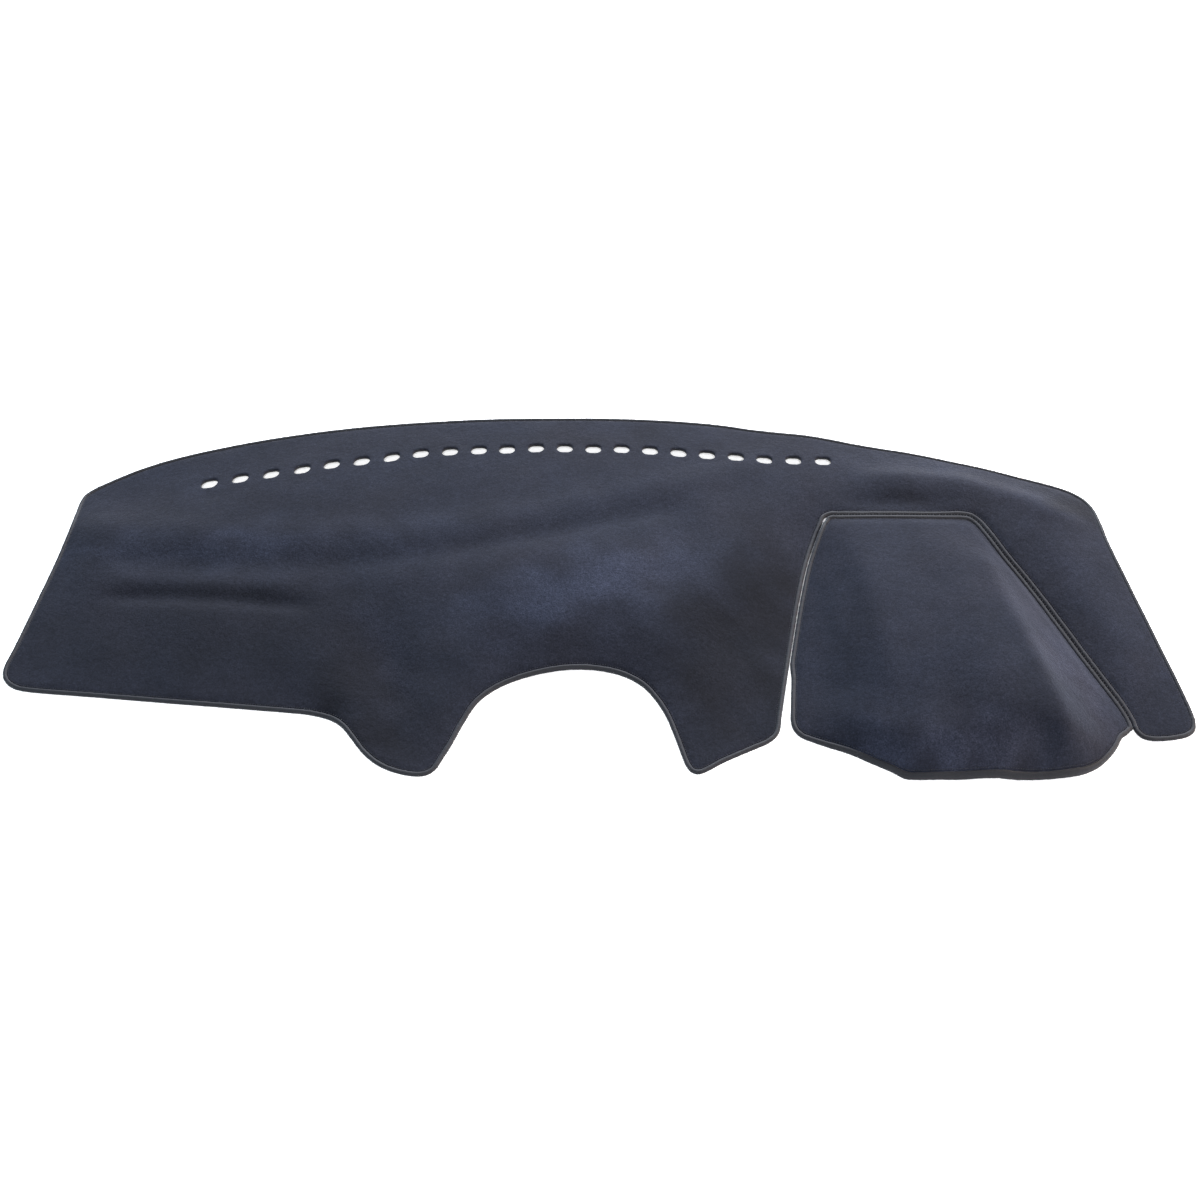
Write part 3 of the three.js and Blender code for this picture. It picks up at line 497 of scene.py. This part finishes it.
def edge_cord(name, fine, top, mat, seed):
    """Overlocked edge: threads wound round the felt's edge, loop beside loop."""
    length = even(fine, 10)[1]
    loops = round(length / PITCH)
    per = 4
    n = loops * per
    loop, _ = even(fine, n)
    t = np.roll(loop, -3, 0) - np.roll(loop, 3, 0)
    t /= np.linalg.norm(t, axis=1, keepdims=True)
    inward = np.stack([-t[:, 1], t[:, 0]], 1) * np.sign(area(loop))
    sides = 14
    ang = np.arange(sides) / sides * 2 * math.pi
    rng = np.random.default_rng(seed)
    uneven = np.repeat(rng.normal(0, 0.07, loops), per)
    half_w = BIND_WIDTH / 2
    nz = normals(top, loop)[:, 2]
    core = FELT / np.maximum(THINNEST_SLOPE, nz) / 2
    verts = np.zeros((n, sides, 3))
    base_mid = {}
    for j, a in enumerate(ang):
        ca, sa = math.cos(a), math.sin(a)
        sq = lambda c: math.copysign(abs(c) ** 0.95, c)
        phase = 2 * math.pi * (np.arange(n) / per) + 0.55 * math.sin(a) * 2
        bulge = 0.26 * np.abs(np.cos(phase / 2)) ** 0.6 - 0.26 + uneven
        off = half_w - (half_w + bulge) * sq(ca)
        off = np.clip(off, 0.02, BIND_WIDTH + 0.2)
        xy = loop + inward * off[:, None]
        up = np.where(sa > 0, core + BIND_OVER + bulge, core + BIND_UNDER)
        verts[:, j, :2] = xy
        verts[:, j, 2] = top(xy) - core + up * sq(sa)
    faces = []
    for i in range(n):
        i2 = (i + 1) % n
        for j in range(sides):
            j2 = (j + 1) % sides
            faces.append((i * sides + j, i2 * sides + j, i2 * sides + j2, i * sides + j2))
    v = verts.reshape(-1, 3)
    ob = make(name, v, faces, [mat])
    fix_outward(ob)
    return ob


def fix_outward(ob):
    import bmesh
    bm = bmesh.new()
    bm.from_mesh(ob.data)
    bmesh.ops.recalc_face_normals(bm, faces=bm.faces)
    if bm.calc_volume(signed=True) < 0:
        bmesh.ops.reverse_faces(bm, faces=bm.faces)
    bm.to_mesh(ob.data)
    bm.free()
    ob.data.polygons.foreach_set("use_smooth", [True] * len(ob.data.polygons))


def beads(name, places, along, up, length, radius, mat, rings=3, sides=6):
    """Short sunk stitches, one solid bead of thread each."""
    verts, faces = [], []
    us = np.linspace(-1, 1, rings + 2)
    side = np.cross(up, along)
    side /= np.linalg.norm(side, axis=1, keepdims=True)
    k = 0
    ring_u = us[1:-1]
    for p, a, s, w in zip(places, along, side, up):
        verts.append(p - a * length / 2 - w * radius * 0.7)
        for u in ring_u:
            r = radius * (1 - 0.35 * u * u)
            sink = -radius * 0.9 * abs(u) ** 2
            for q in range(sides):
                t = 2 * math.pi * q / sides
                verts.append(p + a * length / 2 * u * 0.86 + s * r * math.cos(t) + w * (r * math.sin(t) + sink))
        verts.append(p + a * length / 2 - w * radius * 0.7)
        n = len(ring_u)
        for q in range(sides):
            q2 = (q + 1) % sides
            faces.append((k, k + 1 + q2, k + 1 + q))
            for r in range(n - 1):
                b = k + 1 + r * sides
                faces.append((b + q, b + q2, b + sides + q2, b + sides + q))
            b = k + 1 + (n - 1) * sides
            faces.append((b + q, b + q2, k + 1 + n * sides))
        k += 2 + n * sides
    ob = make(name, np.array(verts), faces, [mat])
    fix_outward(ob)
    return ob


def needle_line(name, fine, top, mat, offset, seed):
    length = even(fine, 10)[1]
    n = round(length / PITCH)
    loop, _ = even(fine, n)
    t = np.roll(loop, -1, 0) - np.roll(loop, 1, 0)
    t /= np.linalg.norm(t, axis=1, keepdims=True)
    inward = np.stack([-t[:, 1], t[:, 0]], 1) * np.sign(area(loop))
    xy = loop + inward * offset
    nrm = normals(top, xy)
    z = top(xy)
    ahead = xy + t * 1.0
    along = np.column_stack([t, top(ahead) - z])
    along /= np.linalg.norm(along, axis=1, keepdims=True)
    p = np.column_stack([xy, z]) - nrm * 0.55
    rng = np.random.default_rng(seed)
    p += nrm * rng.normal(0, 0.04, (n, 1))
    return beads(name, p, along, nrm, 2.3, 0.42, mat)


# ---- materials --------------------------------------------------------------------
def nodes_of(name):
    m = bpy.data.materials.new(name)
    m.use_nodes = True
    nt = m.node_tree
    b = nt.nodes["Principled BSDF"]
    b.inputs["Specular IOR Level"].default_value = 0.12
    return m, nt, b


def noise(nt, co, scale, detail=3.0, rough=0.55):
    n = nt.nodes.new("ShaderNodeTexNoise")
    n.inputs["Scale"].default_value = scale
    n.inputs["Detail"].default_value = detail
    n.inputs["Roughness"].default_value = rough
    nt.links.new(co, n.inputs["Vector"])
    return n.outputs["Fac"]


def ramp(nt, fac, stops):
    r = nt.nodes.new("ShaderNodeValToRGB")
    e = r.color_ramp.elements
    while len(e) < len(stops):
        e.new(0.5)
    for el, (pos, col) in zip(e, stops):
        el.position, el.color = pos, (*col, 1)
    nt.links.new(fac, r.inputs["Fac"])
    return r.outputs["Color"]


def mix(nt, fac, a, b, mode="MIX"):
    n = nt.nodes.new("ShaderNodeMix")
    n.data_type, n.blend_type = "RGBA", mode
    if isinstance(fac, (int, float)):
        n.inputs[0].default_value = fac
    else:
        nt.links.new(fac, n.inputs[0])
    for k, v in ((6, a), (7, b)):
        if isinstance(v, tuple):
            n.inputs[k].default_value = (*v, 1)
        else:
            nt.links.new(v, n.inputs[k])
    return n.outputs[2]


def bump(nt, height, strength, distance, normal=None):
    n = nt.nodes.new("ShaderNodeBump")
    n.inputs["Strength"].default_value = strength
    n.inputs["Distance"].default_value = distance
    nt.links.new(height, n.inputs["Height"])
    if normal is not None:
        nt.links.new(normal, n.inputs["Normal"])
    return n.outputs["Normal"]


def coords(nt):
    return nt.nodes.new("ShaderNodeTexCoord").outputs["Object"]


def attribute(nt, name):
    n = nt.nodes.new("ShaderNodeAttribute")
    n.attribute_name = name
    return n.outputs["Fac"]


def felt_material(name, dark, light, warm, cool):
    """Needled felt with a short brushed nap: specks of fibre, soft random blotches, and painted light and shade
    taken from the points.
    """
    m, nt, b = nodes_of(name)
    co = coords(nt)
    fibre = noise(nt, co, 560.0, 4.0, 0.7)
    clump = noise(nt, co, 190.0, 3.0, 0.6)
    nap = noise(nt, co, 30.0, 4.0, 0.6)
    wide = noise(nt, co, 9.0, 3.0, 0.5)
    base = ramp(nt, fibre, [(0.30, dark), (0.52, tuple((a + c) / 2 for a, c in zip(dark, light))), (0.74, light)])
    base = mix(nt, ramp(nt, clump, [(0.38, (0, 0, 0)), (0.72, (0.45, 0.45, 0.45))]), base, dark)
    # painted warm light: the hue turns warm where the points carry it
    hue = mix(nt, attribute(nt, "warmth_with_painted_light"), cool, warm)
    hue = mix(nt, ramp(nt, wide, [(0.36, (0, 0, 0)), (0.64, (0.45, 0.45, 0.45))]), hue, cool)
    base = mix(nt, 1.0, base, hue, "MULTIPLY")
    base = mix(nt, 1.0, base, ramp(nt, nap, [(0.30, (0.80, 0.80, 0.80)), (0.70, (1.0, 1.0, 1.0))]), "MULTIPLY")
    # painted light and shade: the colour is scaled lighter or darker per point
    painted_shading = nt.nodes.new("ShaderNodeVectorMath")
    painted_shading.operation = "SCALE"
    nt.links.new(base, painted_shading.inputs[0])
    nt.links.new(attribute(nt, "tone_with_painted_light"), painted_shading.inputs["Scale"])
    nt.links.new(painted_shading.outputs[0], b.inputs["Base Color"])
    n1 = bump(nt, nap, 0.35, 0.004)
    n2 = bump(nt, clump, 0.6, 0.0014, n1)
    nt.links.new(bump(nt, fibre, 0.7, 0.0007, n2), b.inputs["Normal"])
    b.inputs["Roughness"].default_value = 0.97
    b.inputs["Sheen Weight"].default_value = 0.06
    b.inputs["Sheen Roughness"].default_value = 0.45
    b.inputs["Sheen Tint"].default_value = (0.60, 0.66, 0.85, 1)
    return m


def thread_material(name, dark, light):
    """Textured nylon overlock thread: fine twisted filaments."""
    m, nt, b = nodes_of(name)
    co = coords(nt)
    fil = noise(nt, co, 1500.0, 2.0, 0.6)
    cloud = noise(nt, co, 90.0, 2.0, 0.5)
    base = ramp(nt, fil, [(0.32, dark), (0.68, light)])
    base = mix(nt, 1.0, base, ramp(nt, cloud, [(0.3, (0.82, 0.82, 0.84)), (0.7, (1, 1, 1))]), "MULTIPLY")
    nt.links.new(base, b.inputs["Base Color"])
    nt.links.new(bump(nt, fil, 0.5, 0.0003), b.inputs["Normal"])
    b.inputs["Roughness"].default_value = 0.72
    b.inputs["Specular IOR Level"].default_value = 0.3
    b.inputs["Sheen Weight"].default_value = 0.10
    b.inputs["Sheen Roughness"].default_value = 0.4
    b.inputs["Sheen Tint"].default_value = (0.7, 0.76, 0.9, 1)
    return m


def backing_material(name):
    """Black rubberised back with small non-slip dots."""
    m, nt, b = nodes_of(name)
    co = coords(nt)
    v = nt.nodes.new("ShaderNodeTexVoronoi")
    v.inputs["Scale"].default_value = 260.0
    v.inputs["Randomness"].default_value = 0.25
    nt.links.new(co, v.inputs["Vector"])
    dot = ramp(nt, v.outputs["Distance"], [(0.22, (1, 1, 1)), (0.38, (0, 0, 0))])
    grain = noise(nt, co, 900.0, 3.0)
    base = mix(nt, dot, (0.018, 0.018, 0.020), (0.040, 0.040, 0.043))
    base = mix(nt, 0.5, base, ramp(nt, grain, [(0.3, (0.3, 0.3, 0.3)), (0.7, (0.7, 0.7, 0.7))]), "OVERLAY")
    nt.links.new(base, b.inputs["Base Color"])
    n1 = bump(nt, dot, 0.6, 0.0008)
    nt.links.new(bump(nt, grain, 0.3, 0.0003, n1), b.inputs["Normal"])
    b.inputs["Roughness"].default_value = 0.62
    b.inputs["Specular IOR Level"].default_value = 0.35
    return m


def tape_material(name):
    """Woven cotton tape: fine cross ribs."""
    m, nt, b = nodes_of(name)
    co = coords(nt)
    waves = []
    for d in ("X", "Y"):
        w = nt.nodes.new("ShaderNodeTexWave")
        w.bands_direction = d
        w.inputs["Scale"].default_value = 380.0
        w.inputs["Distortion"].default_value = 0.6
        nt.links.new(co, w.inputs["Vector"])
        waves.append(w.outputs["Fac"])
    weave = mix(nt, 0.5, waves[0], waves[1], "DIFFERENCE")
    nt.links.new(mix(nt, weave, (0.012, 0.013, 0.016), (0.035, 0.036, 0.042)), b.inputs["Base Color"])
    nt.links.new(bump(nt, weave, 0.5, 0.0004), b.inputs["Normal"])
    b.inputs["Roughness"].default_value = 0.9
    b.inputs["Sheen Weight"].default_value = 0.15
    return m


def hook_material(name):
    m, nt, b = nodes_of(name)
    co = coords(nt)
    g = noise(nt, co, 1200.0, 2.0)
    nt.links.new(ramp(nt, g, [(0.3, (0.008, 0.008, 0.010)), (0.7, (0.020, 0.020, 0.023))]), b.inputs["Base Color"])
    nt.links.new(bump(nt, g, 0.25, 0.0002), b.inputs["Normal"])
    b.inputs["Roughness"].default_value = 0.5
    b.inputs["Specular IOR Level"].default_value = 0.4
    return m


FELT_DARK, FELT_LIGHT = (0.0038, 0.0046, 0.0084), (0.0205, 0.0226, 0.0370)
felt = felt_material("felt", FELT_DARK, FELT_LIGHT, (1.0, 0.90, 0.80), (0.82, 0.95, 1.0))
felt_cut = felt_material("felt_cut_edge", (0.008, 0.009, 0.013), (0.030, 0.032, 0.044), (1.0, 0.95, 0.92), (0.9, 0.96, 1.0))
thread = thread_material("overlock_thread", (0.0018, 0.0022, 0.0038), (0.0082, 0.0096, 0.0158))
needle = thread_material("needle_thread", (0.0028, 0.0032, 0.0052), (0.0090, 0.0102, 0.0160))
backing = backing_material("rubber_backing")
tape_look = tape_material("woven_tape")
hook_look = hook_material("hook_tape")

# ---- pieces -------------------------------------------------------------------------
main = panel("main_felt", main_fine, main_top, GRID, range(len(SLOTS)), 11, [felt, backing, felt_cut], MAIN_PAINTED_LIGHT)
hood = panel("hood_felt", hood_fine, hood_top, 4.2, [], 23, [felt, backing, felt_cut], HOOD_PAINTED_LIGHT)
main_cord = edge_cord("main_overlock", main_fine, main_top, thread, 5)
hood_cord = edge_cord("hood_overlock", hood_fine, hood_top, thread, 6)
main_stitch = needle_line("main_needle_line", main_fine, main_top, needle, BIND_WIDTH + 0.9, 7)
hood_stitch = needle_line("hood_needle_line", hood_fine, hood_top, needle, BIND_WIDTH + 0.9, 8)


def seam_lacing():
    """Thread that laces the two overlocked edges together along the hood seam."""
    line = [coarse[i] - coarse_in[i] * SEAM_GAP / 2 for i in seam_ids]
    line = np.array(line)
    run = np.concatenate([[0], np.cumsum(np.hypot(*np.diff(line, axis=0).T))])
    n = int(run[-1] / 4.0)
    s = np.linspace(4, run[-1] - 4, n)
    xy = np.stack([np.interp(s, run, line[:, k]) for k in (0, 1)], 1)
    t = np.gradient(xy, axis=0)
    t /= np.linalg.norm(t, axis=1, keepdims=True)
    side = np.stack([-t[:, 1], t[:, 0]], 1)
    nrm = normals(main_top, xy)
    p = np.column_stack([xy, main_top(xy)]) + nrm * 0.35
    lean = side + t * 0.45 * np.where(np.arange(n) % 2, 1, -1)[:, None]
    ahead = xy + lean
    along = np.column_stack([lean, main_top(ahead) - main_top(xy)])
    along /= np.linalg.norm(along, axis=1, keepdims=True)
    return beads("seam_lacing", p, along, nrm, 4.6, 0.45, needle, rings=5)


lacing = seam_lacing()


def seam_tape():
    """Woven tape under the seam, its long edges slightly rolled."""
    pts = np.array([p for i, p in enumerate(HOOD_SEAM) if i > 0 and main_top(p[None])[0] > 11.5])
    run = np.concatenate([[0], np.cumsum(np.hypot(*np.diff(pts, axis=0).T))])
    n = int(run[-1] / 3.0)
    s = np.linspace(0, run[-1], n)
    xy = np.stack([np.interp(s, run, pts[:, k]) for k in (0, 1)], 1)
    for _ in range(3):
        xy[1:-1] = (xy[:-2] + 2 * xy[1:-1] + xy[2:]) / 4
    t = np.gradient(xy, axis=0)
    t /= np.linalg.norm(t, axis=1, keepdims=True)
    side = np.stack([-t[:, 1], t[:, 0]], 1)
    w = 17.0 / 2
    sec = [(-w, -0.5), (-w + 0.8, 0.0), (0, 0.0), (w - 0.8, 0.0), (w, -0.5), (w - 0.8, -1.0), (0, -0.95), (-w + 0.8, -1.0)]
    nz = normals(main_top, xy)[:, 2]
    under = FELT / np.maximum(THINNEST_SLOPE, nz) + 0.65
    V = []
    for a, b in sec:
        q = xy + side * (a + SEAM_GAP / 2)
        V.append(np.column_stack([q, main_top(q) - under + b]))
    V = np.stack(V, 1)
    k = len(sec)
    faces = [(i * k + j, (i + 1) * k + j, (i + 1) * k + (j + 1) % k, i * k + (j + 1) % k) for i in range(n - 1) for j in range(k)]
    faces += [tuple(range(k)), tuple((n - 1) * k + j for j in reversed(range(k)))]
    ob = make("seam_tape", V.reshape(-1, 3), faces, [tape_look])
    fix_outward(ob)
    return ob


tape = seam_tape()


def hook_pad(i):
    """Moulded hook tape: a rounded strip with rows of small hooks on its lower face."""
    src = frame["nodes"][f"hook_pad_{i}"]
    me = src.data
    P = np.array([tuple(src.matrix_world @ v.co) for v in me.vertices]) * 1000 - SEAT
    mount = next(m for m in frame["record"]["mounts"] if m["name"] == f"hook_pad_{i}_face")
    down = np.array(mount["axis"], float)
    c = np.array(mount["pos_m"], float) * 1000 - SEAT
    d = (P - c) - ((P - c) @ down)[:, None] * down
    u = np.linalg.svd(d, full_matrices=False)[2][0]
    u /= np.linalg.norm(u)
    v = np.cross(down, u)
    L, W, R, T = 29.7, 12.2, 5.0, 2.0

    def outline(g, count=40):
        t = np.linspace(0, 2 * math.pi, count, endpoint=False) + math.pi / count
        x = np.sign(np.cos(t)) * (L - R) + (R - g) * np.cos(t)
        y = np.sign(np.sin(t)) * (W - R) + (R - g) * np.sin(t)
        return x, y

    verts, faces = [], []
    levels = [(0.5, 0.3), (0.0, 0.8), (0.0, T - 0.5), (0.5, T)]
    for g, h in levels:
        x, y = outline(g)
        for a, b in zip(x, y):
            verts.append(c + u * a + v * b - down * h)
    k = 40
    for r in range(len(levels) - 1):
        for j in range(k):
            faces.append((r * k + j, (r + 1) * k + j, (r + 1) * k + (j + 1) % k, r * k + (j + 1) % k))
    faces += [tuple(range(k)), tuple(3 * k + j for j in reversed(range(k)))]
    base = len(verts)
    for ix in range(-11, 12):
        for iy in range(-4, 5):
            a, b = ix * 2.4, iy * 2.5
            foot = c + u * a + v * b - down * 0.45
            q = [foot + u * 0.5 + v * 0.35, foot - u * 0.5 + v * 0.35, foot - u * 0.5 - v * 0.35, foot + u * 0.5 - v * 0.35]
            tip = [p + down * 0.4 + u * 0.25 for p in q]
            verts += q + tip
            for f in ((0, 1, 5, 4), (1, 2, 6, 5), (2, 3, 7, 6), (3, 0, 4, 7), (4, 5, 6, 7), (3, 2, 1, 0)):
                faces.append(tuple(base + j for j in f))
            base += 8
    ob = make(f"hook_tape_{i}", np.array(verts), faces, [hook_look], False)
    fix_outward(ob)
    ob.data.polygons.foreach_set("use_smooth", [False] * len(ob.data.polygons))
    return ob


pads = [hook_pad(i) for i in range(1, 6)]

# ---- how the pieces ride, and what they stand for ----------------------------------
def flat_area(ob):
    me = ob.data
    a = np.zeros(len(me.polygons))
    me.polygons.foreach_get("area", a)
    return float(a.sum() / 2)


for ob, slot in [
    (main, "felt"), (hood, "felt"), (main_cord, "edge_thread"), (hood_cord, "edge_thread"),
    (main_stitch, "edge_thread"), (hood_stitch, "edge_thread"), (lacing, "edge_thread"), (tape, "seam_tape"),
] + [(p, "hook_tape") for p in pads]:
    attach(ob, "root")
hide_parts("main_panel")
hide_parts("hood_panel")
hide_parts("main_edge_binding")
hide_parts("hood_edge_binding")
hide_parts("hood_seam_tape")
for i, p in enumerate(pads, 1):
    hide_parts(f"hook_pad_{i}")

# ---- floor, lights, camera ------------------------------------------------------------
def floor():
    m, nt, b = nodes_of("floor_paint")
    g = noise(nt, coords(nt), 6.0, 2.0)
    nt.links.new(ramp(nt, g, [(0.3, (0.86, 0.86, 0.865)), (0.7, (0.88, 0.88, 0.88))]), b.inputs["Base Color"])
    b.inputs["Roughness"].default_value = 0.9
    b.inputs["Emission Color"].default_value = (1.0, 1.0, 1.0, 1)
    b.inputs["Emission Strength"].default_value = 0.50
    # far from the mat, past the lamps' reach, the floor is as pale as near it
    geo = nt.nodes.new("ShaderNodeNewGeometry")
    far = nt.nodes.new("ShaderNodeVectorMath")
    far.operation = "LENGTH"
    rise = nt.nodes.new("ShaderNodeMapRange")
    rise.inputs["From Min"].default_value = 2.0
    rise.inputs["From Max"].default_value = 5.0
    rise.inputs["To Min"].default_value = 0.50
    rise.inputs["To Max"].default_value = 0.95
    nt.links.new(geo.outputs["Position"], far.inputs[0])
    nt.links.new(far.outputs["Value"], rise.inputs["Value"])
    nt.links.new(rise.outputs["Result"], b.inputs["Emission Strength"])
    me = bpy.data.meshes.new("floor")
    s = 30.0
    me.from_pydata([(-s, -s, -0.0006), (s, -s, -0.0006), (s, s, -0.0006), (-s, s, -0.0006)], [], [(0, 1, 2, 3)])
    me.materials.append(m)
    ob = bpy.data.objects.new("floor", me)
    bpy.context.scene.collection.objects.link(ob)


floor()
world = bpy.data.worlds.new("studio")
bpy.context.scene.world = world
world.use_nodes = True
bg = world.node_tree.nodes["Background"]
bg.inputs["Color"].default_value = (0.92, 0.95, 1.0, 1)
bg.inputs["Strength"].default_value = 0.25
# the studio wall seen past the floor is as pale as the floor
wall = world.node_tree.nodes.new("ShaderNodeBackground")
wall.inputs["Color"].default_value = (0.94, 0.95, 0.96, 1)
wall.inputs["Strength"].default_value = 1.0
path = world.node_tree.nodes.new("ShaderNodeLightPath")
both = world.node_tree.nodes.new("ShaderNodeMixShader")
world.node_tree.links.new(path.outputs["Is Camera Ray"], both.inputs[0])
world.node_tree.links.new(bg.outputs[0], both.inputs[1])
world.node_tree.links.new(wall.outputs[0], both.inputs[2])
world.node_tree.links.new(both.outputs[0], world.node_tree.nodes["World Output"].inputs["Surface"])


def area_light(name, where, target, size, power, colour, size_y=None):
    d = bpy.data.lights.new(name, "AREA")
    d.shape = "RECTANGLE"
    d.size, d.size_y = size, size_y or size
    d.energy, d.color = power, colour
    ob = bpy.data.objects.new(name, d)
    ob.location = where
    ob.rotation_euler = (Vector(target) - Vector(where)).to_track_quat("-Z", "Y").to_euler()
    bpy.context.scene.collection.objects.link(ob)


area_light("key", (0.5, 3.2, 1.9), (0, 0, 0), 1.1, 430, (0.90, 0.94, 1.0), 0.8)
area_light("right_warm", (3.2, 0.1, 1.5), (0.2, 0, 0), 1.0, 210, (1.0, 0.86, 0.76))
area_light("left_cool", (-3.0, -0.4, 1.4), (0, 0, 0), 1.0, 45, (0.66, 0.90, 1.0))
area_light("front_fill", (0.0, -2.06, 2.45), (0, 0, 0), 0.35, 75, (0.97, 0.98, 1.0))

cam_d = bpy.data.cameras.new("camera")
cam_d.lens, cam_d.sensor_width, cam_d.sensor_fit = 50.0, 36.0, "AUTO"
cam_d.clip_end = 100
cam = bpy.data.objects.new("camera", cam_d)
TARGET, RANGE, RISE = Vector((0.0098, -0.025587, 0.007326)), 2.130, math.radians(50.0)
cam.location = TARGET + RANGE * Vector((0, -math.cos(RISE), math.sin(RISE)))
cam.rotation_euler = (math.pi / 2 - RISE, 0, 0)
bpy.context.scene.collection.objects.link(cam)
bpy.context.scene.camera = cam
bpy.context.scene.view_settings.view_transform = "Standard"
